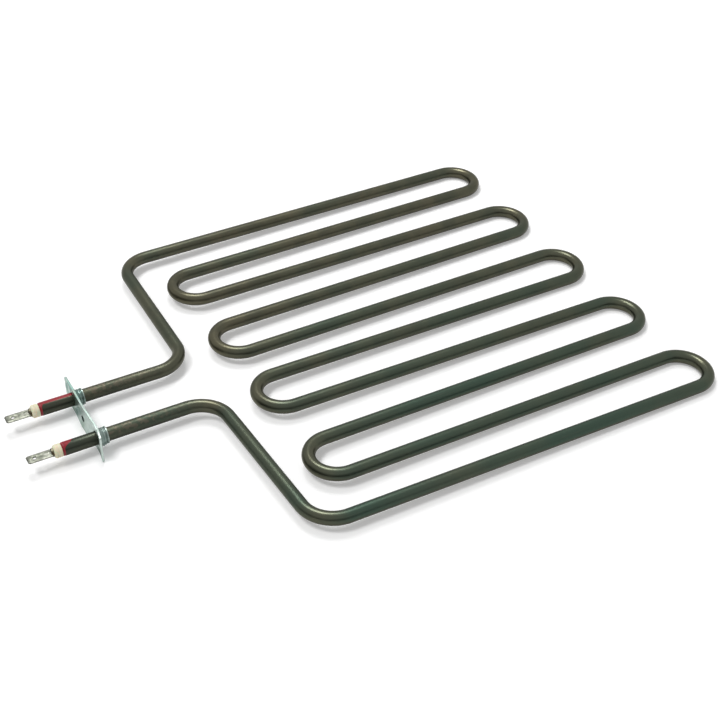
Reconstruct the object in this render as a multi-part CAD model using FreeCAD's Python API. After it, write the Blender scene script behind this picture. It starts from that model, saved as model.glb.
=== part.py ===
import FreeCAD, Part
import math
import os

# Tubular heating element for a sauna stove, in millimetres.
# The tube lies in the plane z = 0. The origin is the middle of the bracket's mounting face,
# +X runs along the legs into the heated loops, +Y points to the rear leg and +Z up.

# Sheath
sheath_diameter = 8.2
sheath_wall = 0.7
sheath_overhang = 19.2        # the legs end this far outside the mounting face

# Plan of the bent tube, along its centre line
leg_spacing = 40.0
leg_bend_radius = 19.2
leg_bend_x = 55.4             # where the straight legs end
corner_radius = 19.6
corner_x = 96.6
corner_spacing = 250.0        # between the centres of the two outer corners
u_bend_radius = 16.2
far_bend_count = 5
far_bend_x = 340.0
bend_pitch = 66.5             # between neighbouring U-bends of one side
far_bend_step = 1.4           # each far U-bend reaches this much further than the one in front
near_bend_x = 113.8
near_bend_gather = 2.75       # the near U-bends crowd this much towards the middle
loop_offset = -1.8            # the loops' middle lies a little in front of the legs' middle

# Inside of the sheath
coil_diameter = 3.4
pin_diameter = 2.5
pin_reach = 30.0              # the pins end this far inside the mounting face
packing_clearance = 0.05      # round everything that lies in the packed powder

# Mouth of each leg, from the sheath's end outwards
seal_depth = 6.0
seal_rim = 1.4
seal_rim_diameter = 8.0
bead_diameter = 8.0
bead_length = 4.6
bead_chamfer = 0.9
bead_clearance = 0.05
pin_collar_diameter = 5.0
pin_collar_thickness = 1.2
seat_clearance = 0.05         # between pieces that sit end to end on a pin

# Push-on tab, lying flat on the milled end of its pin
tab_width = 6.3
tab_thickness = 0.8
tab_length = 14.0
tab_lap = 4.6                 # how far the pin's flat end reaches under the tab
tab_hole_diameter = 2.0
tab_hole_from_tip = 4.4
tab_tip_chamfer = 1.1
tab_bevel = 0.25

# Mounting bracket, with its drawn collars
plate_thickness = 1.2
plate_height = 18.0
plate_end = 12.0              # from each leg's middle to the plate's end
plate_corner_radius = 2.5
fixing_hole_diameter = 4.2
collar_clearance = 0.05
collar_wall = 0.9
collar_length = 7.6           # from the mounting face
collar_root_radius = 2.2
collar_mouth_radius = 0.8
collar_lip = 0.5
collar_lip_length = 1.6
ear_height = 1.9              # how far a crimped ear stands out of its collar
ear_width = 2.4
ear_length = 2.2
ear_rounding = 0.7
ear_angle = 45.0

LEFT = 1
RIGHT = -1

sheath_bore = sheath_diameter - 2 * sheath_wall
leg_y = leg_spacing / 2
sheath_end_x = -sheath_overhang
seal_face_x = sheath_end_x - seal_rim
bead_face_x = seal_face_x - seat_clearance - bead_length
pin_collar_x = bead_face_x - seat_clearance - pin_collar_thickness
tab_root_x = pin_collar_x - seat_clearance
tab_tip_x = tab_root_x - tab_length
pin_tip_x = tab_root_x - tab_lap


def point(x, y, z=0.0):
    return FreeCAD.Vector(x, y, z)


def bends():
    """Every bend that the centre line goes round: its centre, its radius and its turn."""
    leg_bend_y = leg_y + leg_bend_radius
    corner_y = corner_spacing / 2
    middle = (far_bend_count - 1) / 2
    found = [(point(leg_bend_x, leg_bend_y), leg_bend_radius, LEFT)]
    found.append((point(corner_x, corner_y), corner_radius, RIGHT))
    for number in range(far_bend_count):
        place = middle - number
        far = point(far_bend_x + far_bend_step * place, loop_offset + bend_pitch * place)
        found.append((far, u_bend_radius, RIGHT))
        if number < far_bend_count - 1:
            place -= 0.5
            gather = math.copysign(near_bend_gather, place)
            near = point(near_bend_x, loop_offset + bend_pitch * place - gather)
            found.append((near, u_bend_radius, LEFT))
    found.append((point(corner_x, -corner_y), corner_radius, RIGHT))
    found.append((point(leg_bend_x, -leg_bend_y), leg_bend_radius, LEFT))
    return found


def tangent(first, second):
    """The straight run that leaves one bend and enters the next, as its two ends."""
    (start, start_radius, start_turn), (end, end_radius, end_turn) = first, second
    offset = end - start
    lean = math.asin((start_turn * start_radius - end_turn * end_radius) / offset.Length)
    heading = math.atan2(offset.y, offset.x) + lean
    side = point(-math.sin(heading), math.cos(heading))
    return start - side * (start_turn * start_radius), end - side * (end_turn * end_radius)


def bend_arc(bend, enter, leave):
    """The arc of one bend, from where the tube enters it to where it leaves."""
    centre, radius, turn = bend
    start = math.atan2(enter.y - centre.y, enter.x - centre.x)
    end = math.atan2(leave.y - centre.y, leave.x - centre.x)
    swept = turn * ((turn * (end - start)) % (2 * math.pi))
    middle = start + swept / 2
    top = centre + point(math.cos(middle), math.sin(middle)) * radius
    return Part.Arc(enter, top, leave).toShape()


def centre_line(start_x):
    """The tube's centre line, between the same x on the rear leg and on the front leg."""
    stops = [(point(start_x, leg_y), 0, LEFT)] + bends() + [(point(start_x, -leg_y), 0, LEFT)]
    runs = [tangent(first, second) for first, second in zip(stops, stops[1:])]
    edges = [Part.LineSegment(*runs[0]).toShape()]
    for bend, before, after in zip(stops[1:], runs, runs[1:]):
        edges.append(bend_arc(bend, before[1], after[0]))
        edges.append(Part.LineSegment(*after).toShape())
    return Part.Wire(edges)


def disc(x, y, diameter):
    circle = Part.Circle(point(x, y), point(1, 0), diameter / 2)
    return Part.Face(Part.Wire(circle.toShape()))


def swept_tube(start_x, outer_diameter, bore_diameter=0.0):
    """A tube or rod swept along the centre line. Its volume has to be section times length."""
    line = centre_line(start_x)
    ring = disc(start_x, leg_y, outer_diameter)
    if bore_diameter:
        ring = ring.cut(disc(start_x, leg_y, bore_diameter))
    tube = line.makePipe(ring.Faces[0])
    section = math.pi / 4 * (outer_diameter ** 2 - bore_diameter ** 2)
    print("swept length %.1f, volume over section times length %.5f"
          % (line.Length, tube.Volume / (section * line.Length)))
    return tube


def rod(diameter, start_x, end_x, y):
    return Part.makeCylinder(diameter / 2, end_x - start_x, point(start_x, y), point(1, 0))


def turned(profile, y):
    """A solid turned about a leg's line. The profile lists x and radius, in order."""
    outline = Part.makePolygon([point(x, radius) for x, radius in profile + profile[:1]])
    solid = Part.Face(outline).revolve(point(0, 0), point(1, 0), 360)
    solid.translate(point(0, y))
    return solid


def sheath():
    return swept_tube(sheath_end_x, sheath_diameter, sheath_bore)


def filling():
    """Packed powder between the two seals, bored for the coil and for the pins."""
    seal_end_x = sheath_end_x + seal_depth + seat_clearance
    outer = sheath_bore - 2 * packing_clearance
    powder = swept_tube(pin_reach, outer, coil_diameter + 2 * packing_clearance)
    for y in (leg_y, -leg_y):
        plug = rod(outer, seal_end_x, pin_reach, y)
        bore = rod(pin_diameter + 2 * packing_clearance, seal_end_x, pin_reach, y)
        powder = powder.fuse(plug.cut(bore))
    return powder.removeSplitter()


def coil():
    """The resistance coil, as the rod that its fine turns fill."""
    return swept_tube(pin_reach + seat_clearance, coil_diameter)


def pin(y):
    """Steel pin with an upset collar. Its outer end is milled flat to carry the tab."""
    body = rod(pin_diameter, pin_tip_x, pin_reach, y)
    collar = rod(pin_collar_diameter, pin_collar_x, pin_collar_x + pin_collar_thickness, y)
    lap = tab_root_x - pin_tip_x
    flat = Part.makeBox(lap, pin_diameter, pin_diameter,
                        point(pin_tip_x, y - pin_diameter / 2, -tab_thickness / 2))
    return body.cut(flat).fuse(collar).removeSplitter()


def seal(y):
    """Silicone plug in the sheath's mouth, with a rim that covers the cut edge."""
    plug_radius = sheath_bore / 2 - packing_clearance
    pin_radius = pin_diameter / 2 + bead_clearance
    inner_x = sheath_end_x + seal_depth
    shoulder_x = sheath_end_x - seat_clearance
    return turned([(seal_face_x, pin_radius), (seal_face_x, seal_rim_diameter / 2),
                   (shoulder_x, seal_rim_diameter / 2), (shoulder_x, plug_radius),
                   (inner_x, plug_radius), (inner_x, pin_radius)], y)


def bead(y):
    """Ceramic bush between the seal and the pin's collar."""
    bore_radius = pin_diameter / 2 + bead_clearance
    inner_x = bead_face_x + bead_length
    radius = bead_diameter / 2
    return turned([(bead_face_x, bore_radius), (bead_face_x, radius - bead_chamfer),
                   (bead_face_x + bead_chamfer, radius), (inner_x, radius),
                   (inner_x, bore_radius)], y)


def tab(y):
    """Flat push-on tab with a chamfered, bevelled tip and a catch hole."""
    half = tab_width / 2
    outline = [(tab_root_x, -half), (tab_root_x, half), (tab_tip_x + tab_tip_chamfer, half),
               (tab_tip_x, half - tab_tip_chamfer), (tab_tip_x, tab_tip_chamfer - half),
               (tab_tip_x + tab_tip_chamfer, -half)]
    lower = -tab_thickness / 2
    loop = [point(x, y + across, lower) for x, across in outline + outline[:1]]
    blade = Part.Face(Part.makePolygon(loop)).extrude(point(0, 0, tab_thickness))
    tip = [edge for edge in blade.Edges
           if edge.BoundBox.ZLength < tab_bevel
           and edge.BoundBox.XMin < tab_tip_x + tab_bevel]
    blade = blade.makeChamfer(tab_bevel, tip)
    hole = Part.makeCylinder(tab_hole_diameter / 2, tab_thickness,
                             point(tab_tip_x + tab_hole_from_tip, y, lower))
    return blade.cut(hole)


def collar(y):
    """One collar drawn out of the plate: rounded mouth, root fillet and a rolled lip."""
    bore = sheath_diameter / 2 + collar_clearance
    outer = bore + collar_wall
    root = outer + collar_root_radius
    lip_x = collar_length - collar_lip_length
    corner = math.sqrt(0.5)
    mouth = bore + collar_mouth_radius
    mouth_arc = Part.Arc(point(0, mouth),
                         point(collar_mouth_radius * (1 - corner), mouth - collar_mouth_radius * corner),
                         point(collar_mouth_radius, bore))
    root_x = plate_thickness + collar_root_radius
    root_arc = Part.Arc(point(root_x, outer),
                        point(root_x - collar_root_radius * corner, root - collar_root_radius * corner),
                        point(plate_thickness, root))
    lip_arc = Part.Arc(point(collar_length, outer),
                       point(collar_length - collar_lip_length / 2, outer + collar_lip),
                       point(lip_x, outer))
    steps = [Part.LineSegment(point(0, root), point(0, mouth)), mouth_arc,
             Part.LineSegment(point(collar_mouth_radius, bore), point(collar_length, bore)),
             Part.LineSegment(point(collar_length, bore), point(collar_length, outer)), lip_arc,
             Part.LineSegment(point(lip_x, outer), point(root_x, outer)), root_arc,
             Part.LineSegment(point(plate_thickness, root), point(0, root))]
    outline = Part.Wire([step.toShape() for step in steps])
    solid = Part.Face(outline).revolve(point(0, 0), point(1, 0), 360)
    for angle in (ear_angle, ear_angle + 180):
        solid = solid.fuse(ear(angle, bore))
    solid.translate(point(0, y))
    return solid


def ear(angle, bore):
    """Metal pinched out of a collar where it is crimped on its leg."""
    foot = bore + collar_wall / 2
    top = bore + collar_wall + ear_height
    block = Part.makeBox(ear_length, top - foot, ear_width,
                         point(collar_length - ear_length, foot, -ear_width / 2))
    crest = [edge for edge in block.Edges if edge.BoundBox.YMin > top - ear_rounding]
    block = block.makeFillet(ear_rounding, crest)
    block.rotate(point(0, 0), point(1, 0), angle)
    return block


def bracket():
    half_length = leg_y + plate_end
    plate = Part.makeBox(plate_thickness, 2 * half_length, plate_height,
                         point(0, -half_length, -plate_height / 2))
    corners = [edge for edge in plate.Edges if edge.BoundBox.XLength > plate_thickness / 2]
    plate = plate.makeFillet(plate_corner_radius, corners)
    plate = plate.cut(rod(fixing_hole_diameter, 0, plate_thickness, 0))
    root_diameter = sheath_diameter + 2 * (collar_clearance + collar_wall + collar_root_radius)
    for y in (leg_y, -leg_y):
        plate = plate.cut(rod(root_diameter, 0, plate_thickness, y)).fuse(collar(y))
    return plate.removeSplitter()


def save(name, shape):
    assert shape.isValid(), name
    print("%s: %d solid, volume %.1f" % (name, len(shape.Solids), shape.Volume))
    shape.exportStep("parts/%s.step" % name)


os.makedirs("parts", exist_ok=True)
save("sheath_tube", sheath())
save("magnesia_filling", filling())
save("heating_coil", coil())
save("mounting_bracket", bracket())
for side, y in (("rear", leg_y), ("front", -leg_y)):
    save(side + "_terminal_pin", pin(y))
    save(side + "_end_seal", seal(y))
    save(side + "_ceramic_bead", bead(y))
    save(side + "_terminal_tab", tab(y))
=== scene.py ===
import math
import bpy
from mathutils import Matrix, Vector


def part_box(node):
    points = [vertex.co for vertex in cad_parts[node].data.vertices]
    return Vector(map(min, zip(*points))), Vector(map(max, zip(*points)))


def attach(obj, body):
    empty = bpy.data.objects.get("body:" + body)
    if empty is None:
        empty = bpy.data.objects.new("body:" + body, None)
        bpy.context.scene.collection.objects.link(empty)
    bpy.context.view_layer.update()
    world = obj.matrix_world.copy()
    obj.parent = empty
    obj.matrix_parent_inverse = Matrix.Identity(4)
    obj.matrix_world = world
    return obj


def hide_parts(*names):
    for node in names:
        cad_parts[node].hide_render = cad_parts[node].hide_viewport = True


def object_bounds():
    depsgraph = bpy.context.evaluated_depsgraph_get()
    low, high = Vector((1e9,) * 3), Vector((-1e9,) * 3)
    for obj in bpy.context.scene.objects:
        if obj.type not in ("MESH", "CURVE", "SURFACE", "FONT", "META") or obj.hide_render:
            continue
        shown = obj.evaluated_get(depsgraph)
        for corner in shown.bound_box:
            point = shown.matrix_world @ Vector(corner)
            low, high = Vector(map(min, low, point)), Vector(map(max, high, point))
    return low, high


# Sauna heating element: one long steel tube bent into five loops, a zinc-plated bracket crimped
# on its two legs, and a push-on tab behind a ceramic bead at each end.
# Everything is in metres. The tube lies in z = 0, the legs run along X and the bracket's
# mounting face is x = 0.

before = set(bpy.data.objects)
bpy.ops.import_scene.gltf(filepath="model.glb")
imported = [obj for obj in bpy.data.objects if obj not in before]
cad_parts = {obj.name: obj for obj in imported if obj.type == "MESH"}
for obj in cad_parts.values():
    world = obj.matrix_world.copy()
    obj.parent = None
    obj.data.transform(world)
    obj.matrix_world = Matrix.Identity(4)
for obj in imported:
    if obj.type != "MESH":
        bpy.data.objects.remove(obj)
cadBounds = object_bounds()
cadMiddle = sum(cadBounds, Vector()) / 2
print("frame loaded:", len(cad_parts), "nodes")

legY = sum(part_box("rear_terminal_pin"), Vector()).y / 2
nearby = 0.00001                # closer than this is the same place


# Small helpers for modelling

def namePiece(name):
    piece = bpy.context.active_object
    piece.name = name
    piece.data.name = name
    bpy.ops.object.transform_apply(location=True, rotation=True, scale=True)
    return piece


def applyModifier(piece, kind, **settings):
    modifier = piece.modifiers.new(kind.lower(), kind)
    for setting, value in settings.items():
        setattr(modifier, setting, value)
    bpy.context.view_layer.objects.active = piece
    bpy.ops.object.modifier_apply(modifier=modifier.name)


def cutWith(piece, cutter):
    applyModifier(piece, "BOOLEAN", operation="DIFFERENCE", solver="EXACT", object=cutter)
    bpy.data.objects.remove(cutter)


def leaveEdit():
    bpy.ops.object.mode_set(mode="OBJECT")


def deselectAll():
    bpy.ops.object.select_all(action="DESELECT")


def selectOnly(piece):
    deselectAll()
    piece.select_set(True)
    bpy.context.view_layer.objects.active = piece


def selectMesh():
    bpy.ops.mesh.select_all(action="SELECT")


def editMesh(piece):
    selectOnly(piece)
    bpy.ops.object.mode_set(mode="EDIT")
    bpy.ops.mesh.select_mode(type="VERT")
    selectMesh()


def tidyMesh(mergeDistance=1e-6):
    # leaves edit mode with doubles merged and every face pointing outwards
    selectMesh()
    bpy.ops.mesh.remove_doubles(threshold=mergeDistance)
    bpy.ops.mesh.normals_make_consistent(inside=False)
    leaveEdit()


def finishPiece(piece, plan, material, slotName, *nodes):
    # a plan's rounding is width, segments and the least angle of the edges that it takes
    if "rounding" in plan:
        width, segments, leastAngle = plan["rounding"]
        applyModifier(piece, "BEVEL", width=width, segments=segments, limit_method="ANGLE",
                      angle_limit=math.radians(leastAngle))
    selectOnly(piece)
    bpy.ops.object.shade_smooth_by_angle(angle=math.radians(plan["sharpAngle"]))
    piece.data.materials.clear()
    piece.data.materials.append(material)
    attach(piece, "root")
    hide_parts(*nodes)
    print("  made", piece.name, "with", len(piece.data.polygons), "faces")


def addRing(sides, radius, place):
    bpy.ops.mesh.primitive_circle_add(vertices=sides, radius=radius, location=place,
                                      rotation=(0, math.pi / 2, 0))


def extrudeBy(offset):
    bpy.ops.mesh.extrude_region_move(TRANSFORM_OT_translate={"value": offset})


def pushRing(profile, y):
    # the selected ring goes along the leg's line and is resized from station to station
    for (lastX, lastRadius), (x, radius) in zip(profile, profile[1:]):
        extrudeBy((x - lastX, 0, 0))
        growth = radius / lastRadius
        bpy.ops.transform.resize(value=(1, growth, growth), center_override=(x, y, 0))


def turnPiece(name, profile, y, sides):
    deselectAll()
    addRing(sides, profile[0][1], (profile[0][0], y, 0))
    piece = namePiece(name)
    editMesh(piece)
    pushRing(profile + profile[:1], y)
    tidyMesh()
    return piece


# Small helpers for materials

def connect(tree, socket, value):
    # another socket is linked, and anything else is set as the value
    if isinstance(value, bpy.types.NodeSocket):
        tree.links.new(value, socket)
    else:
        socket.default_value = value


def addNode(tree, kind, inputs=None, **settings):
    node = tree.nodes.new("ShaderNode" + kind)
    for setting, value in settings.items():
        setattr(node, setting, value)
    for socket, value in (inputs or {}).items():
        connect(tree, node.inputs[socket], value)
    return node


def addMath(tree, operation, first, second=0.0, clamp=False):
    return addNode(tree, "Math", {0: first, 1: second}, operation=operation,
                   use_clamp=clamp).outputs[0]


def multiply(tree, first, second):
    return addMath(tree, "MULTIPLY", first, second)


def subtract(tree, first, second, clamp=False):
    return addMath(tree, "SUBTRACT", first, second, clamp)


def addShare(tree, value, extra, share, clamp=False):
    return addMath(tree, "ADD", value, multiply(tree, extra, share), clamp)


def addRough(tree, mask, least, extra):
    return addShare(tree, least, mask, extra)


def addRamp(tree, value, low, high):
    # 0 below low and 1 above high, with a soft step between; low may be the larger one
    return addNode(tree, "MapRange", {"Value": value, "From Min": low, "From Max": high},
                   interpolation_type="SMOOTHSTEP").outputs["Result"]


def addMix(tree, mask, first, second, share=None):
    # the second colour over the first one where the mask is; the share weakens the mask
    if share is not None:
        mask = multiply(tree, mask, share)
    first, second = ((*color, 1) if isinstance(color, tuple) else color for color in (first, second))
    return addNode(tree, "Mix", {"Factor": mask, 6: first, 7: second}, data_type="RGBA").outputs[2]


def addBump(tree, height, strength, distance):
    return addNode(tree, "Bump", {"Height": height, "Strength": strength,
                                  "Distance": distance}).outputs["Normal"]


def addWithin(tree, arm, radius, softness=0.0002):
    # 1 where an arm is shorter than the radius
    length = addNode(tree, "VectorMath", {0: arm}, operation="LENGTH").outputs["Value"]
    return addRamp(tree, length, radius + softness, radius)


def objectPlace(tree):
    return addNode(tree, "TexCoord").outputs["Object"]


def splitAxes(tree, place):
    return addNode(tree, "SeparateXYZ", {"Vector": place}).outputs


def acrossLeg(tree, split):
    # how far a point lies outside the nearer leg's line
    return subtract(tree, addMath(tree, "ABSOLUTE", split["Y"]), legY)


def startMaterial(name):
    material = bpy.data.materials.new(name)
    material.use_nodes = True
    tree = material.node_tree
    return material, tree, tree.nodes["Principled BSDF"]


def feed(tree, shader, **values):
    names = {"color": "Base Color", "roughness": "Roughness", "metallic": "Metallic",
             "normal": "Normal", "tint": "Specular Tint", "subsurface": "Subsurface Weight",
             "subsurfaceScale": "Subsurface Scale"}
    for key, value in values.items():
        connect(tree, shader.inputs[names[key]], value)


def startGroup(name, numbers, outputs):
    # a place and numbers go in, and numbers come out
    group = bpy.data.node_groups.new(name, "ShaderNodeTree")
    group.interface.new_socket("Place", in_out="INPUT", socket_type="NodeSocketVector")
    for way, sockets in (("INPUT", numbers), ("OUTPUT", outputs)):
        for socket in sockets:
            group.interface.new_socket(socket, in_out=way, socket_type="NodeSocketFloat")
    source = group.nodes.new("NodeGroupInput")
    target = group.nodes.new("NodeGroupOutput")
    return group, source.outputs, target.inputs


def useGroup(tree, group, **inputs):
    return addNode(tree, "Group", inputs, node_tree=group).outputs


# Shared surface effects

lineRange = (0.56, 0.70)        # of the noise, where a line starts and is full
breakupDepth = 0.06             # how far the noise moves a rubbed edge


def makeCloudGroup():
    # soft clouds between 0 and 1, with a finer layer inside
    group, source, target = startGroup("softClouds", ["Scale", "Contrast"], ["Mask"])
    noise = addNode(group, "TexNoise", {"Vector": source["Place"], "Scale": source["Scale"],
                                        "Detail": 4.0, "Roughness": 0.55}).outputs["Fac"]
    low = multiply(group, source["Contrast"], 0.5)
    high = subtract(group, 1.0, low)
    group.links.new(addRamp(group, noise, low, high), target["Mask"])
    return group


def makeLineGroup():
    # fine marks drawn along the piece's own x, as a mask and as a height
    group, source, target = startGroup("drawnLines", ["Fineness", "Stretch"], ["Mask", "Height"])
    stretch = addNode(group, "CombineXYZ", {"X": source["Stretch"], "Y": 1.0, "Z": 1.0})
    squeezed = addNode(group, "VectorMath", {0: source["Place"], 1: stretch.outputs[0]},
                       operation="MULTIPLY").outputs[0]
    noise = addNode(group, "TexNoise", {"Vector": squeezed, "Scale": source["Fineness"],
                                        "Detail": 3.0, "Roughness": 0.7}).outputs["Fac"]
    group.links.new(addRamp(group, noise, *lineRange), target["Mask"])
    group.links.new(noise, target["Height"])
    return group


def makeWearGroup():
    # bright where a convex edge has been rubbed, broken up by a noise
    group, source, target = startGroup("rubbedEdges", ["Breakup", "Start", "End"], ["Mask"])
    edge = addNode(group, "NewGeometry").outputs["Pointiness"]
    noise = addNode(group, "TexNoise", {"Vector": source["Place"], "Scale": source["Breakup"],
                                        "Detail": 2.0}).outputs["Fac"]
    shifted = addShare(group, edge, subtract(group, noise, 0.5), breakupDepth)
    worn = addNode(group, "MapRange", {"Value": shifted, "From Min": source["Start"],
                                       "From Max": source["End"]}).outputs["Result"]
    group.links.new(worn, target["Mask"])
    return group


softClouds = makeCloudGroup()
drawnLines = makeLineGroup()
rubbedEdges = makeWearGroup()


def addClouds(tree, place, scale, contrast):
    return useGroup(tree, softClouds, Place=place, Scale=scale, Contrast=contrast)["Mask"]


def addLines(tree, place, fineness, stretch):
    return useGroup(tree, drawnLines, Place=place, Fineness=fineness, Stretch=stretch)


def addWear(tree, place, breakup, start, end):
    return useGroup(tree, rubbedEdges, Place=place, Breakup=breakup, Start=start, End=end)["Mask"]


# Sheath: oxidised steel, olive brown with teal heat colours, and red sealant near the mouths.
# In every look a colour may have a share. Clouds are scale and contrast, lines fineness and
# stretch, wear breakup, start and end, bump strength and distance, rough the least and what a
# mask adds, and a range is where an effect starts and where it is full.

sheathLook = {
    "olive": (0.066, 0.066, 0.047),
    "bronze": (0.107, 0.098, 0.064),
    "teal": (0.045, 0.070, 0.053),
    # the colour of the painted floor reflection on the underside
    "under": (0.165, 0.158, 0.134),
    # darker ends outside the bracket, and the colour of the painted shade under the legs just inside
    # it
    "darkEndsAndShade": ((0.034, 0.038, 0.030), 0.65),
    "scuff": (0.130, 0.108, 0.082),
    "sealant": (0.250, 0.003, 0.012),
    "edgeTint": (0.75, 0.75, 0.72, 1),
    "patches": (8.0, 0.55),
    "stains": (55.0, 0.8),
    "grain": (700.0, 0.85),
    "scuffs": (420.0, 0.9),
    "lines": (2600.0, 0.012),
    "bump": (0.14, 0.00004),
    "tealPatches": 0.7,
    "tealFront": 0.65,
    "frontBalance": 0.35,
    "frontRange": (0.12, -0.14),        # along y
    "topRange": (-0.0025, 0.001),
    "bendsWithoutTeal": 0.7,
    "brownStains": 0.4,
    "brownBends": 0.22,
    # share of the painted floor reflection, less of it on the bends
    "pale": 0.7,
    "bendsLessFloorReflection": 0.55,
    "underRange": (-0.0008, -0.0036),
    "underStart": (0.05, 0.12),         # along x
    "stubRange": (0.006, 0.001),
    "shadedRange": (0.075, 0.030),
    "shadedDepth": (0.0016, -0.0014),
    "legStart": (-0.002, 0.004),
    "legEnd": (0.070, 0.020),
    "scuffRange": (0.45, 1.0),          # of the clouds
    "scuffTop": (0.0, 0.003),
    "scuffed": 0.5,
    "lined": 0.18,
    "rough": (0.30, 0.03, 0.07, 0.15, 0.12),    # bends, runs, grain, legs, sealant
    "grainHeight": 0.4,
    "sealantHeight": 2.5,
}


def makeSheathSteel(look):
    material, tree, shader = startMaterial("sheathSteel")
    unbent = addNode(tree, "Attribute", attribute_name="unbent").outputs["Vector"]
    bent = addNode(tree, "Attribute", attribute_name="bent").outputs["Fac"]
    place = objectPlace(tree)
    split = splitAxes(tree, place)

    # teal heat colour in long patches on top, more of it in the front loops and less in the bends
    patches = addClouds(tree, unbent, *look["patches"])
    front = subtract(tree, addRamp(tree, split["Y"], *look["frontRange"]), look["frontBalance"])
    teal = addShare(tree, multiply(tree, patches, look["tealPatches"]), front, look["tealFront"],
                    clamp=True)
    teal = multiply(tree, teal, addRamp(tree, split["Z"], *look["topRange"]))
    teal = multiply(tree, teal, subtract(tree, 1.0, multiply(tree, bent, look["bendsWithoutTeal"])))

    # brown stains, and a painted reflection of the floor: a paler underside away from the bracket
    stains = addClouds(tree, unbent, *look["stains"])
    brown = addShare(tree, multiply(tree, stains, look["brownStains"]), bent, look["brownBends"])
    base = addMix(tree, brown, look["olive"], look["bronze"])
    paintedFloorReflection = multiply(tree, addRamp(tree, split["Z"], *look["underRange"]),
                     addRamp(tree, split["X"], *look["underStart"]))
    pale = subtract(tree, look["pale"], multiply(tree, bent, look["bendsLessFloorReflection"]))
    base = addMix(tree, paintedFloorReflection, base, look["under"], pale)
    base = addMix(tree, teal, base, look["teal"])

    # the ends outside the bracket are darker, and the underside just inside it gets painted shade
    outside = addRamp(tree, split["X"], *look["stubRange"])
    shaded = multiply(tree, addRamp(tree, split["X"], *look["shadedRange"]),
                      addRamp(tree, split["Z"], *look["shadedDepth"]))
    base = addMix(tree, addMath(tree, "MAXIMUM", outside, shaded), base, *look["darkEndsAndShade"])

    # handling marks on the legs just inside the bracket
    onLegs = multiply(tree, addRamp(tree, split["X"], *look["legEnd"]),
                      addRamp(tree, split["X"], *look["legStart"]))
    scuffs = addRamp(tree, addClouds(tree, place, *look["scuffs"]), *look["scuffRange"])
    scuffs = multiply(tree, multiply(tree, scuffs, onLegs),
                      addRamp(tree, split["Z"], *look["scuffTop"]))
    base = addMix(tree, scuffs, base, look["scuff"], look["scuffed"])
    lines = addLines(tree, unbent, *look["lines"])
    base = addMix(tree, lines["Mask"], base, look["scuff"], look["lined"])

    sealant = addSealantMask(tree, place, split)
    base = addMix(tree, sealant, base, look["sealant"])

    # the bends have been polished in the bending tool, so the grain fades out there
    straight = subtract(tree, 1.0, bent, clamp=True)
    grain = addClouds(tree, unbent, *look["grain"])
    rough, *shares = look["rough"]
    for mask, share in zip((straight, multiply(tree, straight, grain), onLegs, sealant), shares):
        rough = addShare(tree, rough, mask, share)
    height = multiply(tree, addMath(tree, "ADD", lines["Height"], grain), look["grainHeight"])
    height = addShare(tree, multiply(tree, height, straight), sealant, look["sealantHeight"])
    feed(tree, shader, color=base, roughness=rough, metallic=subtract(tree, 1.0, sealant, clamp=True),
         normal=addBump(tree, height, *look["bump"]), tint=look["edgeTint"])
    return material


sealantPlan = {
    "leastReach": -0.0001,      # from the mouth, in front and underneath
    "frontReach": 0.0062,       # from the mouth, along the back of the front leg
    "rearReach": 0.0018,
    "reachLean": math.radians(44),          # the longest reach lies this far behind the top
    "stripeLean": math.radians(16),         # and so does the rear leg's stripe
    "stripeHalfAngle": math.radians(30),
    "noiseScale": 420.0,
    "raggedness": 0.0014,
    "stripeRaggedness": 0.4,    # of the band's
    "edge": 0.00015,
}


def addSealantMask(tree, place, split):
    # red sealant: a slanted band round each mouth, and a stripe along the rear leg to the bracket
    plan = sealantPlan
    low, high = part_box("sheath_tube")
    edge = plan["edge"]
    noise = addNode(tree, "TexNoise", {"Vector": place, "Scale": plan["noiseScale"],
                                       "Detail": 3.0}).outputs["Fac"]
    ragged = multiply(tree, subtract(tree, noise, 0.5), plan["raggedness"])
    rear = addMath(tree, "GREATER_THAN", split["Y"], 0)
    topReach = addShare(tree, plan["frontReach"], rear, plan["rearReach"] - plan["frontReach"])
    behind = multiply(tree, acrossLeg(tree, split), addMath(tree, "SIGN", split["Y"]))

    def towards(lean):
        return addShare(tree, multiply(tree, behind, math.sin(lean)), split["Z"], math.cos(lean))

    reach = addNode(tree, "MapRange", {"Value": towards(plan["reachLean"]), "From Min": 0,
                                       "From Max": high.z, "To Min": plan["leastReach"],
                                       "To Max": topReach}).outputs["Result"]
    beyond = subtract(tree, subtract(tree, split["X"], low.x), addMath(tree, "ADD", reach, ragged))
    band = addRamp(tree, beyond, edge, -edge)
    rim = high.z * math.cos(plan["stripeHalfAngle"])
    stripe = addShare(tree, towards(plan["stripeLean"]), ragged, plan["stripeRaggedness"])
    stripe = addRamp(tree, stripe, rim - edge, rim + edge)
    stripe = multiply(tree, stripe, addMath(tree, "LESS_THAN", split["X"], 0))
    return addMath(tree, "MAXIMUM", band, multiply(tree, stripe, rear))


sheathSteel = makeSheathSteel(sheathLook)


# Zinc plate: pale metal with a blue-green passivated bloom and brighter rubbed edges

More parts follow.
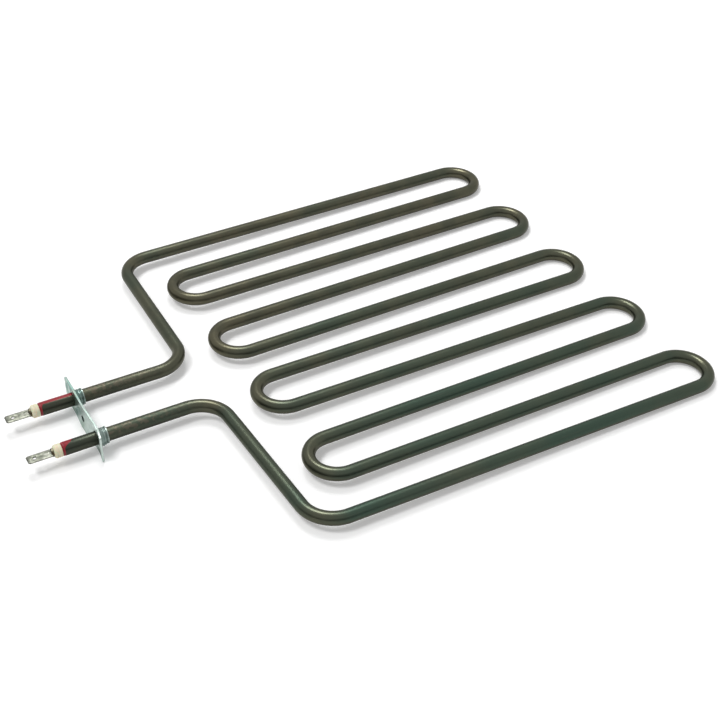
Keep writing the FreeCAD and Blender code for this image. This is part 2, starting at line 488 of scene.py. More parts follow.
zincLook = {
    "pale": (0.30, 0.40, 0.36),
    "bloom": (0.15, 0.29, 0.25),
    "yellow": ((0.34, 0.37, 0.28), 0.35),
    "bare": ((0.56, 0.64, 0.60), 0.8),
    "clean": ((0.48, 0.56, 0.52), 0.8),
    # the collars' duller drawn metal together with painted shade behind the plate
    "drawn": ((0.060, 0.095, 0.090), 0.62),
    # the colour of the painted shade in the collar creases and the screw hole
    "paintedShade": (0.045, 0.060, 0.055),
    "clouds": (170.0, 0.75),
    "warmClouds": (102.0, 0.8),
    "lines": (1500.0, 0.10),
    "wear": (700.0, 0.515, 0.60),
    "bump": (0.20, 0.00005),
    "warmRange": (0.62, 0.95),          # of the clouds
    "cleanRange": (0.012, -0.014),      # along y
    "drawnRange": (0.0004, 0.0016),     # along x
    "creaseRadius": 0.0047,     # painted shade in the creases round the collars
    "creaseRange": (0.0015, 0.0025),
    "creaseShadeShare": 0.5,
    "holeRadius": 0.0021,       # and on the screw hole's wall
    "rough": (0.30, 0.16),
    "roughLines": 0.08,
}


def makeZincPlate(look):
    material, tree, shader = startMaterial("zincPlate")
    place = objectPlace(tree)
    split = splitAxes(tree, place)
    bloom = addClouds(tree, place, *look["clouds"])
    warm = addRamp(tree, addClouds(tree, place, *look["warmClouds"]), *look["warmRange"])
    base = addMix(tree, bloom, look["pale"], look["bloom"])
    base = addMix(tree, warm, base, *look["yellow"])

    # the plate is cleaner towards the front leg, and the drawn collars are duller and darkened with
    # painted shade
    clean = addRamp(tree, split["Y"], *look["cleanRange"])
    base = addMix(tree, clean, base, *look["clean"])
    drawn = addRamp(tree, split["X"], *look["drawnRange"])
    base = addMix(tree, drawn, base, *look["drawn"])
    # painted shade in the creases round the collars
    fromLeg = {"Y": acrossLeg(tree, split), "Z": split["Z"]}
    fromLeg = addNode(tree, "CombineXYZ", fromLeg).outputs[0]
    creaseShade = multiply(tree, addWithin(tree, fromLeg, look["creaseRadius"]),
                      addRamp(tree, split["X"], *look["creaseRange"]))
    base = addMix(tree, creaseShade, base, look["paintedShade"], look["creaseShadeShare"])

    worn = addWear(tree, place, *look["wear"])
    base = addMix(tree, worn, base, *look["bare"])
    # painted shade on the screw hole's wall
    fromHole = addNode(tree, "VectorMath", {0: place, 1: (0, 1, 1)}, operation="MULTIPLY").outputs[0]
    base = addMix(tree, addWithin(tree, fromHole, look["holeRadius"]), base, look["paintedShade"])
    lines = addLines(tree, place, *look["lines"])
    rough = addRough(tree, bloom, *look["rough"])
    rough = addShare(tree, rough, lines["Mask"], look["roughLines"])
    feed(tree, shader, color=base, roughness=rough, metallic=1.0,
         normal=addBump(tree, addMath(tree, "ADD", lines["Height"], bloom), *look["bump"]))
    return material


zincPlate = makeZincPlate(zincLook)


# Cream ceramic: matt steatite, a little greener in places, warmer at its edges and specked

ceramicLook = {
    "cream": (0.80, 0.76, 0.56),
    "greenish": ((0.66, 0.72, 0.48), 0.6),
    "warm": ((0.86, 0.66, 0.47), 0.55),
    "speck": ((0.42, 0.33, 0.22), 0.5),
    "clouds": (320.0, 0.7),
    "grain": (2600.0, 0.9),
    "wear": (1500.0, 0.505, 0.58),
    "bump": (0.25, 0.00003),
    "speckScale": 900.0,
    "speckRange": (0.14, 0.06),
    "rough": (0.52, 0.15),
    "plain": {"subsurface": 0.15, "subsurfaceScale": 0.0008},
}


def makeCreamCeramic(look):
    material, tree, shader = startMaterial("creamCeramic")
    place = objectPlace(tree)
    clouds = addClouds(tree, place, *look["clouds"])
    base = addMix(tree, clouds, look["cream"], *look["greenish"])
    worn = addWear(tree, place, *look["wear"])
    base = addMix(tree, worn, base, *look["warm"])
    cells = addNode(tree, "TexVoronoi", {"Vector": place, "Scale": look["speckScale"]})
    specks = addRamp(tree, cells.outputs["Distance"], *look["speckRange"])
    base = addMix(tree, specks, base, *look["speck"])
    grain = addClouds(tree, place, *look["grain"])
    feed(tree, shader, color=base, normal=addBump(tree, grain, *look["bump"]),
         roughness=addRough(tree, grain, *look["rough"]), **look["plain"])
    return material


creamCeramic = makeCreamCeramic(ceramicLook)


# Two colours in soft clouds, over ripples or drawn lines: silicone, pin steel and packed powder

siliconeLook = {                # glossy where it was smeared, a little dusty in the hollows
    "colors": ((0.32, 0.004, 0.014), (0.17, 0.002, 0.008), 0.7),
    "clouds": (420.0, 0.75),
    "ripples": (1100.0, 0.6),
    "bump": (0.5, 0.00012),
    "rough": (0.28, 0.2),
    "plain": {"subsurface": 0.05, "subsurfaceScale": 0.0005},
}
pinLook = {                     # darker than the tab, browned by the weld
    "colors": ((0.17, 0.16, 0.11), (0.085, 0.066, 0.038)),
    "clouds": (650.0, 0.8),
    "lines": (3500.0, 0.08),
    "bump": (0.3, 0.00003),
    "rough": (0.42, 0.15),
    "plain": {"metallic": 0.9},
}
powderLook = {                  # inside the sheath, where only a cut would show it
    "colors": ((0.78, 0.76, 0.70), (0.58, 0.56, 0.50)),
    "clouds": (900.0, 0.8),
    "ripples": (6000.0, 0.9),
    "bump": (0.5, 0.00005),
    "plain": {"roughness": 0.9},
}


def makeMottled(name, look):
    material, tree, shader = startMaterial(name)
    place = objectPlace(tree)
    clouds = addClouds(tree, place, *look["clouds"])
    if "lines" in look:
        relief = addLines(tree, place, *look["lines"])["Height"]
    else:
        relief = addClouds(tree, place, *look["ripples"])
    feed(tree, shader, color=addMix(tree, clouds, *look["colors"]),
         normal=addBump(tree, relief, *look["bump"]), **look["plain"])
    if "rough" in look:
        feed(tree, shader, roughness=addRough(tree, clouds, *look["rough"]))
    return material


redSilicone = makeMottled("redSilicone", siliconeLook)
pinSteel = makeMottled("pinSteel", pinLook)
packedPowder = makeMottled("packedPowder", powderLook)


# Nickel plate on the tabs: dull grey-green, brighter round the weld spots, darker at the tip

tabLook = {
    "nickel": (0.24, 0.25, 0.205),
    "dull": (0.14, 0.15, 0.12),
    "bare": (0.38, 0.39, 0.34),
    "tip": ((0.05, 0.055, 0.042), 0.85),
    "clouds": (500.0, 0.8),
    "lines": (3000.0, 0.05),
    "wear": (1200.0, 0.52, 0.60),
    "bump": (0.25, 0.00003),
    "tipShade": 0.0018,
    "weldHalo": 0.00065,
    "weldBare": 0.75,
    "rubbed": 0.7,
    "rough": (0.44, 0.15),
}


def makeNickelPlate(look, weldXs):
    material, tree, shader = startMaterial("nickelPlate")
    place = objectPlace(tree)
    split = splitAxes(tree, place)
    clouds = addClouds(tree, place, *look["clouds"])
    base = addMix(tree, clouds, look["nickel"], look["dull"])
    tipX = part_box("rear_terminal_tab")[0].x
    tip = addRamp(tree, split["X"], tipX + look["tipShade"], tipX)
    base = addMix(tree, tip, base, *look["tip"])
    across = acrossLeg(tree, split)
    for weldX in weldXs:
        arm = addNode(tree, "CombineXYZ", {"X": subtract(tree, split["X"], weldX), "Y": across})
        halo = addWithin(tree, arm.outputs[0], look["weldHalo"], look["weldHalo"])
        base = addMix(tree, halo, base, look["bare"], look["weldBare"])
    worn = addWear(tree, place, *look["wear"])
    base = addMix(tree, worn, base, look["bare"], look["rubbed"])
    lines = addLines(tree, place, *look["lines"])
    feed(tree, shader, color=base, metallic=1.0, normal=addBump(tree, lines["Height"], *look["bump"]),
         roughness=addRough(tree, clouds, *look["rough"]))
    return material


# Resistance alloy: the coil, which only a cut would show

coilLook = {
    "alloy": (0.34, 0.33, 0.31),
    "dark": (0.16, 0.155, 0.15),
    "clouds": (800.0, 0.8),
    "bump": (0.6, 0.0002),
    "waveScale": 35.0,
    "rough": (0.35, 0.2),
}


def makeResistanceAlloy(look):
    material, tree, shader = startMaterial("resistanceAlloy")
    place = objectPlace(tree)
    waves = addNode(tree, "TexWave", {"Vector": place, "Scale": look["waveScale"]}).outputs["Fac"]
    clouds = addClouds(tree, place, *look["clouds"])
    feed(tree, shader, color=addMix(tree, waves, look["dark"], look["alloy"]), metallic=1.0,
         roughness=addRough(tree, clouds, *look["rough"]), normal=addBump(tree, waves, *look["bump"]))
    return material


for nodeName, hiddenMaterial in (("magnesia_filling", packedPowder),
                                 ("heating_coil", makeResistanceAlloy(coilLook))):
    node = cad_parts[nodeName]
    node.data.materials.clear()
    node.data.materials.append(hiddenMaterial)
print("materials made")


# The bent tube

tubePlan = {
    "legBendRadius": 0.0192,
    "legBendX": 0.0554,
    "cornerRadius": 0.0196,
    "cornerX": 0.0966,
    "cornerSpacing": 0.250,
    "loopRadius": 0.0162,
    "farCount": 5,
    "farX": 0.340,
    "pitch": 0.0665,
    "farStep": 0.0014,
    "nearX": 0.1138,
    "nearGather": 0.00275,
    "loopOffset": -0.0018,
}
tubeForm = {
    "sides": 56,
    "stepAngle": math.radians(6.5),
    "runStep": 0.030,
    "wall": 0.0007,
    "rounding": (0.00015, 2, 60),
    "sharpAngle": 32,
    "bendFlattening": 0.025,
}


def planBends(plan):
    # centre, radius and turn (1 left, -1 right) of every bend, from the rear leg to the front leg
    rear = [(plan["legBendX"], legY + plan["legBendRadius"], plan["legBendRadius"], 1),
            (plan["cornerX"], plan["cornerSpacing"] / 2, plan["cornerRadius"], -1)]
    front = [(x, -y, radius, turn) for x, y, radius, turn in reversed(rear)]
    loops = []
    for number in range(plan["farCount"]):
        place = (plan["farCount"] - 1) / 2 - number
        farY = plan["loopOffset"] + plan["pitch"] * place
        loops.append((plan["farX"] + plan["farStep"] * place, farY, plan["loopRadius"], -1))
        if number < plan["farCount"] - 1:
            place -= 0.5
            nearY = plan["loopOffset"] + plan["pitch"] * place
            nearY -= math.copysign(plan["nearGather"], place)
            loops.append((plan["nearX"], nearY, plan["loopRadius"], 1))
    return [(Vector((x, y, 0)), radius, turn) for x, y, radius, turn in rear + loops + front]


def straightBetween(first, second):
    # the straight run that leaves one bend and enters the next, and its heading
    (start, startRadius, startTurn), (end, endRadius, endTurn) = first, second
    offset = end - start
    heading = math.atan2(offset.y, offset.x)
    heading += math.asin((startTurn * startRadius - endTurn * endRadius) / offset.length)
    side = Vector((-math.sin(heading), math.cos(heading), 0))
    return start - side * startTurn * startRadius, end - side * endTurn * endRadius, heading


def bendTube(name, plan, form):
    # a ring starts at the rear mouth; it is extruded along each run and spun round each bend
    low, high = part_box("sheath_tube")
    mouths = [(Vector((low.x, legY * side, 0)), 0, 1) for side in (1, -1)]
    stops = mouths[:1] + planBends(plan) + mouths[1:]
    runs = [straightBetween(first, second) for first, second in zip(stops, stops[1:])]
    deselectAll()
    addRing(form["sides"], high.z, stops[0][0])
    tube = namePiece(name)
    editMesh(tube)
    distance = 0
    rings = [(0, runs[0][2], stops[0][0], 0)]      # distance, heading, middle, share of a bend
    for number, (start, end, heading) in enumerate(runs):
        length = (end - start).length
        steps = math.ceil(length / form["runStep"])
        for step in range(steps):
            extrudeBy((end - start) / steps)
            distance += length / steps
            rings.append((distance, heading, start.lerp(end, (step + 1) / steps), 0))
        if number == len(runs) - 1:
            break
        centre, radius, turn = stops[number + 1]
        angle = turn * ((turn * (runs[number + 1][2] - heading)) % (2 * math.pi))
        steps = math.ceil(abs(angle) / form["stepAngle"])
        # spin counts its angle clockwise here
        bpy.ops.mesh.spin(steps=steps, angle=-angle, center=centre, axis=(0, 0, 1))
        for step in range(1, steps + 1):
            distance += abs(angle) * radius / steps
            turned = Matrix.Rotation(angle * step / steps, 3, "Z")
            middle = centre + turned @ (end - centre)
            rings.append((distance, heading + angle * step / steps, middle,
                          math.sin(math.pi * step / steps)))
    selectMesh()
    bpy.ops.mesh.normals_make_consistent(inside=False)
    leaveEdit()
    firstFace = tube.data.polygons[0]
    if firstFace.normal.dot(firstFace.center - stops[0][0]) < 0:
        tube.data.flip_normals()
    paintUnbent(tube, rings, form)
    applyModifier(tube, "SOLIDIFY", thickness=form["wall"], offset=-1)
    return tube


def paintUnbent(tube, rings, form):
    # stores where each point was on the straight tube, and flattens the bends a little
    tube.data.attributes.new("unbent", "FLOAT_VECTOR", "POINT")
    tube.data.attributes.new("bent", "FLOAT", "POINT")
    unbent, bends = (tube.data.attributes[name] for name in ("unbent", "bent"))
    for index, vertex in enumerate(tube.data.vertices):
        distance, heading, middle, bent = rings[index // form["sides"]]
        side = Vector((-math.sin(heading), math.cos(heading), 0))
        across = (vertex.co - middle).dot(side)
        unbent.data[index].vector = (distance, across, vertex.co.z)
        bends.data[index].value = bent
        vertex.co -= side * across * form["bendFlattening"] * bent


sheathTube = bendTube("bent_sheath", tubePlan, tubeForm)
finishPiece(sheathTube, tubeForm, sheathSteel, "sheath_steel", "sheath_tube")
print("tube bent")


# Bracket: one sheet, with its collars drawn out of it and crimped on the legs

bracketPlan = {
    "plateThickness": 0.0012,
    "middleBow": 0.0008,        # the sheet bows outwards between the collars
    "frontBow": 0.0016,         # and beyond the front one
    "bowLean": 0.0003,          # more at the bottom than at the top
    "bowY": 0.002,
    "longestEdge": 0.0025,      # so that the sheet can bow
    "subdivisions": 2,
    "cornerRadius": 0.0013,
    "cornerSteps": 6,
    "holeRadius": 0.0021,
    "bore": 0.00415,
    "mouthRadius": 0.0008,
    "mouthSteps": 6,
    "sides": 64,
    "thickest": 0.0020,
    # along the collar: distance from the mounting face, wall, and how far the bore is pinched in
    "stations": ((0.0015, 0.0020, 0), (0.0019, 0.0016, 0), (0.0024, 0.0013, 0),
                 (0.0030, 0.0009, 0), (0.0036, 0.0007, 0.00002), (0.0040, 0.0009, 0),
                 (0.0043, 0.0009, 0), (0.0048, 0.0006, 0), (0.0054, 0.0006, 0),
                 (0.0058, 0.0009, 0), (0.0062, 0.0009, 0), (0.0066, 0.0006, 0)),
    # angle round the collar, start, and the height there and at the collar's end
    "ears": ((45, 0.0048, 0.0004, 0.0004), (225, 0.0026, 0.0009, 0.0002)),
    "earHalfAngle": 14,
    "earLeastWall": 0.0005,
    "earSlope": 0.9,            # faces that look more along the leg than this stay
    "earTaper": 0.82,
    "rounding": (0.00016, 2, 50),
    "sharpAngle": 28,
}


def selectParts(piece, kind, wanted):
    # selects the vertices, edges or faces whose middle passes the test, and goes to edit mode
    mesh = piece.data
    modes = {"vertices": (True, False, False), "edges": (False, True, False),
             "polygons": (False, False, True)}
    leaveEdit()
    bpy.context.tool_settings.mesh_select_mode = modes[kind]
    for part in ("vertices", "edges", "polygons"):
        items = getattr(mesh, part)
        items.foreach_set("select", [False] * len(items))
    for item in getattr(mesh, kind):
        if kind == "vertices":
            middle = item.co
        else:
            corners = [mesh.vertices[index].co for index in item.vertices]
            middle = sum(corners, Vector()) / len(corners)
        item.select = wanted(middle, item)
    bpy.ops.object.mode_set(mode="EDIT")


def makeSheet(plan):
    # the flat blank: an outline with rounded corners and three round holes, filled between
    low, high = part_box("mounting_bracket")
    deselectAll()
    bpy.ops.mesh.primitive_plane_add(size=1, rotation=(0, math.pi / 2, 0))
    sheet = bpy.context.active_object
    sheet.scale = (high.z - low.z, high.y - low.y, 1)
    sheet = namePiece("formed_bracket")
    editMesh(sheet)
    bpy.ops.mesh.bevel(offset=plan["cornerRadius"], segments=plan["cornerSteps"], affect="VERTICES")
    selectMesh()
    bpy.ops.mesh.delete(type="ONLY_FACE")
    for y in (legY, -legY):
        addRing(plan["sides"], plan["bore"] + plan["mouthRadius"], (0, y, 0))
    addRing(plan["sides"] // 2, plan["holeRadius"], (0, 0, 0))
    selectMesh()
    bpy.ops.mesh.fill(use_beauty=True)

    def isLong(middle, edge):
        first, second = (sheet.data.vertices[index].co for index in edge.vertices)
        return (first - second).length > plan["longestEdge"]

    for repeat in range(plan["subdivisions"]):
        selectParts(sheet, "edges", isLong)
        bpy.ops.mesh.subdivide(number_cuts=2)
    return sheet


def drawCollar(sheet, plan, y):
    # the hole's rim is pushed through, round the mouth and along the leg
    bore, mouth = plan["bore"], plan["mouthRadius"]
    rim = bore + mouth

    def onRim(middle, item):
        return abs(math.hypot(middle.y - y, middle.z) - rim) < nearby

    selectParts(sheet, "vertices", onRim)
    bpy.ops.mesh.select_mode(type="EDGE")
    profile = [(0, rim)]
    for step in range(1, plan["mouthSteps"] + 1):
        angle = math.pi / 2 * step / plan["mouthSteps"]
        profile.append((mouth * (1 - math.cos(angle)), rim - mouth * math.sin(angle)))
    profile += [(x, bore - pinch) for x, wall, pinch in plan["stations"]]
    pushRing(profile, y)


def wallAt(x, plan):
    # the wall thickness at a distance from the mounting face
    stations = [(0, plan["plateThickness"], 0), *plan["stations"]]
    for (firstX, firstWall, _), (nextX, nextWall, _) in zip(stations, stations[1:]):
        if x <= nextX:
            share = (x - firstX) / (nextX - firstX)
            return firstWall + (nextWall - firstWall) * share
    return stations[-1][1]


def thickenSheet(sheet, plan):
    thickness = sheet.vertex_groups.new(name="wall")
    for vertex in sheet.data.vertices:
        share = wallAt(max(vertex.co.x, 0), plan) / plan["thickest"]
        thickness.add([vertex.index], share, "REPLACE")
    applyModifier(sheet, "SOLIDIFY", thickness=plan["thickest"], offset=1, vertex_group="wall",
                  use_even_offset=True)
    sheet.vertex_groups.clear()


def pinchEar(sheet, plan, y, degrees, start, startHeight, endHeight):
    # metal pinched outwards where the collar was crimped; its height changes towards the end
    angle = math.radians(degrees)
    endX = plan["stations"][-1][0]
    outward = Vector((0, math.cos(angle), math.sin(angle)))
    half = math.radians(plan["earHalfAngle"])

    def onEar(middle, item):
        arm = Vector((0, middle.y - y, middle.z))
        if middle.x < start or arm.length < plan["bore"] + plan["earLeastWall"]:
            return False
        outer = item.normal.dot(arm) > 0 and abs(item.normal.x) < plan["earSlope"]
        return arm.angle(outward) < half and outer

    selectParts(sheet, "polygons", onEar)
    extrudeBy(outward * endHeight)
    top = Vector((endX, y, 0)) + outward * (plan["bore"] + endHeight)
    bpy.ops.transform.resize(value=(plan["earTaper"],) * 3, center_override=top)
    leaveEdit()
    for vertex in sheet.data.vertices:
        if vertex.select:
            share = (endX - vertex.co.x) / (endX - start)
            vertex.co += outward * share * (startHeight - endHeight)
    bpy.ops.object.mode_set(mode="EDIT")


def bowSheet(sheet, plan):
    # drawing the collars has left the sheet a little wavy
    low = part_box("mounting_bracket")[0]
    for vertex in sheet.data.vertices:
        y, z = vertex.co.y, vertex.co.z
        if y > -legY:
            reach = legY - plan["bowY"] if y > plan["bowY"] else legY + plan["bowY"]
            share = (1 + math.cos(math.pi * min((y - plan["bowY"]) / reach, 1))) / 2
            vertex.co.x -= share * (plan["middleBow"] + plan["bowLean"] * z / low.z)
        else:
            vertex.co.x -= plan["frontBow"] * ((y + legY) / (low.y + legY)) ** 2


def makeBracket(plan):
    sheet = makeSheet(plan)
    for y in (legY, -legY):
        drawCollar(sheet, plan, y)
    tidyMesh()
    if sheet.data.polygons[0].normal.x < 0:
        sheet.data.flip_normals()
    thickenSheet(sheet, plan)
    for y in (legY, -legY):
        for ear in plan["ears"]:
            pinchEar(sheet, plan, y, *ear)
    tidyMesh()
    bowSheet(sheet, plan)
    return sheet


finishPiece(makeBracket(bracketPlan), bracketPlan, zincPlate, "zinc_plate", "mounting_bracket")
print("bracket formed")


# Beads, seals, pins and tabs at the two mouths

beadPlan = {
    "boreRadius": 0.0013,
    "outerChamfer": 0.0009,
    "innerRounding": 0.00025,
    "groovePlace": 0.52,        # share of the length
    "grooveDepth": 0.00012,
    "rounding": (0.00014, 3, 25),
    "sharpAngle": 40,
    "sides": 56,
}


def makeBead(side, plan):
    # pressed ceramic bush: chamfered towards the tab, with the press's parting line round it
    node = side + "_ceramic_bead"
    low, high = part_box(node)
    radius, length = high.z, high.x - low.x
    middle = low.x + length * plan["groovePlace"]
    width = plan["grooveDepth"] * 2
    profile = [(low.x, plan["boreRadius"]), (low.x, radius - plan["outerChamfer"]),
               (low.x + plan["outerChamfer"], radius), (middle - width, radius),
               (middle, radius - plan["grooveDepth"]), (middle + width, radius),
               (high.x - plan["innerRounding"], radius), (high.x, radius - plan["innerRounding"]),
               (high.x, plan["boreRadius"])]
    bead = turnPiece(side + "_bead", profile, (low.y + high.y) / 2, plan["sides"])
    finishPiece(bead, plan, creamCeramic, "cream_ceramic", node)


sealPlan = {
    "boreRadius": 0.0013,
    "plugRadius": 0.00335,
    "rimRadius": 0.00406,
    "rimGap": 0.00003,          # between the rim and the sheath's mouth
    # along the rim, as shares of its depth and of its radius
    "rimProfile": ((0, 0.86), (0.15, 0.95), (0.4, 0.99), (0.7, 1), (1, 0.985)),
    "unevenFrom": 0.9,          # of the radius
    "unevenTo": 0.9,            # of the depth
    "unevenness": 0.00007,
    "sharpAngle": 50,
    "sides": 64,
    "seeds": {"rear": 4, "front": 11},
}


def makeSeal(side, plan):
    # silicone plug whose rim bulges round the sheath's mouth, a little unevenly
    node = side + "_end_seal"
    low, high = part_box(node)
    y = (low.y + high.y) / 2
    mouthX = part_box("sheath_tube")[0].x - plan["rimGap"]
    rim = plan["rimRadius"]
    depth = mouthX - low.x
    profile = [(low.x, plan["boreRadius"])]
    profile += [(low.x + depth * along, rim * share) for along, share in plan["rimProfile"]]
    profile += [(mouthX, plan["plugRadius"]), (high.x, plan["plugRadius"]),
                (high.x, plan["boreRadius"])]
    seal = turnPiece(side + "_seal", profile, y, plan["sides"])

    def onRim(middle, item):
        outside = math.hypot(middle.y - y, middle.z) > rim * plan["unevenFrom"]
        return outside and middle.x < low.x + depth * plan["unevenTo"]

    selectParts(seal, "vertices", onRim)
    bpy.ops.transform.vertex_random(offset=plan["unevenness"], seed=plan["seeds"][side])
    bpy.ops.mesh.vertices_smooth(factor=0.5, repeat=2)
    leaveEdit()
    finishPiece(seal, plan, redSilicone, "red_silicone", node)


pinPlan = {
    "radius": 0.00125,
    "tipShare": 0.05,           # of the radius, where an end closes
    "collarRadius": 0.0025,
    "collarThickness": 0.0012,
    "collarEnd": -0.0253,
    "chamfer": 0.00012,
    "sharpAngle": 32,
    "sides": 40,
}


def makePin(side, plan):
    # steel pin with an upset collar, milled flat under the tab
    node = side + "_terminal_pin"
    low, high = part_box(node)
    y = (low.y + high.y) / 2
    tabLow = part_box(side + "_terminal_tab")[0]
    radius, collarRadius, chamfer = plan["radius"], plan["collarRadius"], plan["chamfer"]
    collarEnd = plan["collarEnd"]
    collarStart = collarEnd - plan["collarThickness"]
    tip = radius * plan["tipShare"]
    profile = [(low.x, tip), (low.x, radius - chamfer), (low.x + chamfer, radius),
               (collarStart, radius), (collarStart, collarRadius - chamfer),
               (collarStart + chamfer, collarRadius), (collarEnd - chamfer, collarRadius),
               (collarEnd, collarRadius - chamfer), (collarEnd, radius), (high.x, radius),
               (high.x, tip)]
    pin = turnPiece(side + "_pin", profile, y, plan["sides"])
    deselectAll()
    bpy.ops.mesh.primitive_cube_add(size=1)
    cutter = bpy.context.active_object
    lap = collarStart - low.x
    cutter.scale = (lap * 2, radius * 4, radius * 2)
    cutter.location = (low.x, y, tabLow.z + radius)
    cutWith(pin, namePiece("millingCutter"))
    finishPiece(pin, plan, pinSteel, "pin_steel", node)


tabPlan = {
    "tipChamfer": 0.0007,
    "tipBevel": 0.00025,
    "holeRadius": 0.0010,
    "holeFromTip": 0.0044,
    "holeSides": 40,
    "welds": (-0.0299, -0.0279),
    "weldRadius": 0.00062,
    "weldDepth": 0.00014,
    "ballSides": 64,
    "rounding": (0.00007, 2, 30),
    "sharpAngle": 24,
}
nickelPlate = makeNickelPlate(tabLook, tabPlan["welds"])


def makeTab(side, plan):
    # stamped tab: chamfered tip, bevelled edges, catch hole, and two dimples from the welding tips
    node = side + "_terminal_tab"
    low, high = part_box(node)
    middle = (low + high) / 2
    deselectAll()
    bpy.ops.mesh.primitive_cube_add(size=1, location=middle)
    tab = bpy.context.active_object
    tab.scale = high - low
    tab = namePiece(side + "_tab")
    halfWidth = (high.y - low.y) / 2

    def tipCorner(at, item):
        upright = at.x < low.x + nearby and abs(at.z - middle.z) < nearby
        return upright and abs(at.y - middle.y) > halfWidth / 2

    selectParts(tab, "edges", tipCorner)
    bpy.ops.mesh.bevel(offset=plan["tipChamfer"], segments=1, affect="EDGES")

    def tipEdge(at, item):
        return at.x < low.x + plan["tipChamfer"] * 0.9 and abs(at.z - middle.z) > nearby

    selectParts(tab, "edges", tipEdge)
    bpy.ops.mesh.bevel(offset=plan["tipBevel"], segments=1, affect="EDGES")
    leaveEdit()
    bpy.ops.mesh.primitive_cylinder_add(
        vertices=plan["holeSides"], radius=plan["holeRadius"], depth=halfWidth,
        location=(low.x + plan["holeFromTip"], middle.y, middle.z))
    cutWith(tab, namePiece("punch"))
    depth, rim = plan["weldDepth"], plan["weldRadius"]
    ballRadius = (rim * rim + depth * depth) / (2 * depth)
    for weldX in plan["welds"]:
        deselectAll()
        bpy.ops.mesh.primitive_uv_sphere_add(
            segments=plan["ballSides"], ring_count=plan["ballSides"] * 3 // 4, radius=ballRadius,
            location=(weldX, middle.y, high.z - depth + ballRadius))
        cutWith(tab, namePiece("weldingTip"))
    finishPiece(tab, plan, nickelPlate, "nickel_plate", node)


for side in ("rear", "front"):
    makeBead(side, beadPlan)
    makeSeal(side, sealPlan)
    makePin(side, pinPlan)
    makeTab(side, tabPlan)
print("terminals made")


# Camera, floor and light

cameraPlan = {
    "place": Vector((-0.140473, -0.553067, 0.466159)),
    "target": Vector((0.168909, -0.028828, 0)),
    "roll": math.radians(1.13),
    "lens": 61.61,
}
floorPlan = {
    "size": 8.0,
    "frontEdge": -0.00905,      # under the bracket
    "loopBottom": -0.0041,      # under the far loops
    "color": (0.87, 0.87, 0.87, 1),
    "glow": 0.24,
}
lightPlan = {
    "keyAzimuth": 172,
    "keyElevation": 66,
    "keyAngle": 18,
    "keyStrength": 1.2,
    "boxSize": 0.45,
    "boxPlace": (0.24, 0.565, 1.3),
    "boxPower": 6,
    "fill": 0.42,
    "background": (1, 1, 1, 1),
}
# cards that are only seen in the metal: grey at the dark side, and a bright one behind the soft box
cardPlan = {
    "grey": 0.25,
    "bright": 7.5,
    "brightSize": 0.52,
    "brightPlace": (0.235, 0.52, 1.37),
    "height": 0.7,
    "frontCard": {"middle": (-0.5, -1.5), "width": 2.4, "turn": 0},
    "leftCard": {"middle": (-1.5, -0.2), "width": 2.2, "turn": 90},
}


def turnBack(direction):
    # the rotation of a lamp or a card whose back looks that way
    return direction.to_track_quat("Z", "Y").to_euler()


def useSurface(tree, shader, surface):
    tree.nodes.remove(shader)
    tree.links.new(surface, tree.nodes["Material Output"].inputs["Surface"])


def makeCamera(plan):
    data = bpy.data.cameras.new("camera")
    data.lens = plan["lens"]
    camera = bpy.data.objects.new("camera", data)
    bpy.context.scene.collection.objects.link(camera)
    direction = plan["target"] - plan["place"]
    turn = direction.to_track_quat("-Z", "Y").to_matrix()
    roll = Matrix.Rotation(plan["roll"], 3, "Z")
    camera.matrix_world = Matrix.Translation(plan["place"]) @ (turn @ roll).to_4x4()
    bpy.context.scene.camera = camera


def backgroundMask(tree):
    # 1 for what the camera sees, straight on or in metal or glass
    path = addNode(tree, "LightPath").outputs
    seen = addMath(tree, "MAXIMUM", path["Is Camera Ray"], path["Is Glossy Ray"])
    return addMath(tree, "MAXIMUM", seen, path["Is Transmission Ray"])


def makeFloor(plan):
    deselectAll()
    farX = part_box("sheath_tube")[1].x
    slope = math.atan2(plan["loopBottom"] - plan["frontEdge"], farX)
    bpy.ops.mesh.primitive_plane_add(size=plan["size"], location=(0, 0, plan["frontEdge"]),
                                     rotation=(0, -slope, 0))
    floor = namePiece("floor")
    material, tree, shader = startMaterial("paleFloor")
    matt = addNode(tree, "BsdfDiffuse", {"Color": plan["color"]}).outputs[0]
    strength = multiply(tree, backgroundMask(tree), plan["glow"])
    glow = addNode(tree, "Emission", {"Strength": strength}).outputs[0]
    useSurface(tree, shader, addNode(tree, "AddShader", {0: matt, 1: glow}).outputs[0])
    floor.data.materials.append(material)


def finishCard(card, material):
    card.data.materials.append(material)
    card.visible_camera = card.visible_diffuse = card.visible_shadow = False


def makeCardLight(name, strength):
    material, tree, shader = startMaterial(name)
    useSurface(tree, shader, addNode(tree, "Emission", {"Strength": strength}).outputs[0])
    return material


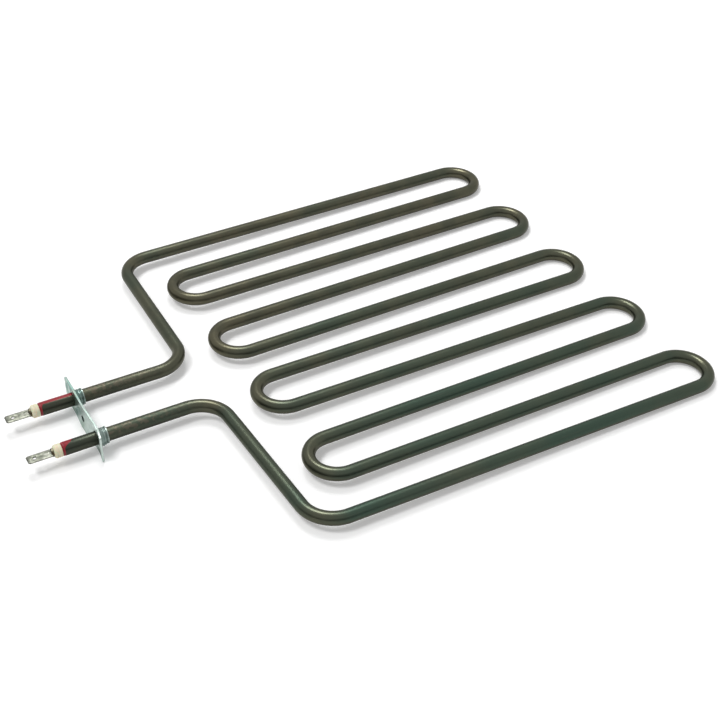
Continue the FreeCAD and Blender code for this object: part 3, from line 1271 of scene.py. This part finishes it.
def makeCards(plan, floor):
    grey, bright = makeCardLight("greyCard", plan["grey"]), makeCardLight("brightCard", plan["bright"])
    deselectAll()
    place = Vector(plan["brightPlace"])
    bpy.ops.mesh.primitive_plane_add(size=plan["brightSize"], location=place,
                                     rotation=turnBack(place - cadMiddle))
    finishCard(namePiece("overheadCard"), bright)
    for name in ("frontCard", "leftCard"):
        x, y = plan[name]["middle"]
        deselectAll()
        bpy.ops.mesh.primitive_plane_add(
            size=1, location=(x, y, floor["frontEdge"] + plan["height"] / 2),
            rotation=(math.pi / 2, 0, math.radians(plan[name]["turn"])))
        card = bpy.context.active_object
        card.scale = (plan[name]["width"], plan["height"], 1)
        finishCard(namePiece(name), grey)


def makeLights(plan):
    azimuth, elevation = math.radians(plan["keyAzimuth"]), math.radians(plan["keyElevation"])
    direction = Vector((math.cos(azimuth) * math.cos(elevation),
                        math.sin(azimuth) * math.cos(elevation), math.sin(elevation)))
    sun = bpy.data.lights.new("keyLight", "SUN")
    sun.energy = plan["keyStrength"]
    sun.angle = math.radians(plan["keyAngle"])
    key = bpy.data.objects.new("keyLight", sun)
    key.rotation_euler = turnBack(direction)
    key.visible_glossy = False
    box = bpy.data.lights.new("softBox", "AREA")
    box.shape = "SQUARE"
    box.size = plan["boxSize"]
    box.energy = plan["boxPower"]
    overhead = bpy.data.objects.new("softBox", box)
    overhead.location = plan["boxPlace"]
    overhead.rotation_euler = turnBack(overhead.location - cadMiddle)
    for lamp in (key, overhead):
        bpy.context.scene.collection.objects.link(lamp)


def makeWorld(plan):
    world = bpy.data.worlds.new("studio")
    bpy.context.scene.world = world
    world.use_nodes = True
    tree = world.node_tree
    strength = addShare(tree, plan["fill"], backgroundMask(tree), 1 - plan["fill"])
    background = tree.nodes["Background"]
    background.inputs["Color"].default_value = plan["background"]
    tree.links.new(strength, background.inputs["Strength"])


makeCamera(cameraPlan)
makeFloor(floorPlan)
makeCards(cardPlan, floorPlan)
makeLights(lightPlan)
makeWorld(lightPlan)
bpy.context.scene.view_settings.view_transform = "Standard"
print("studio ready")
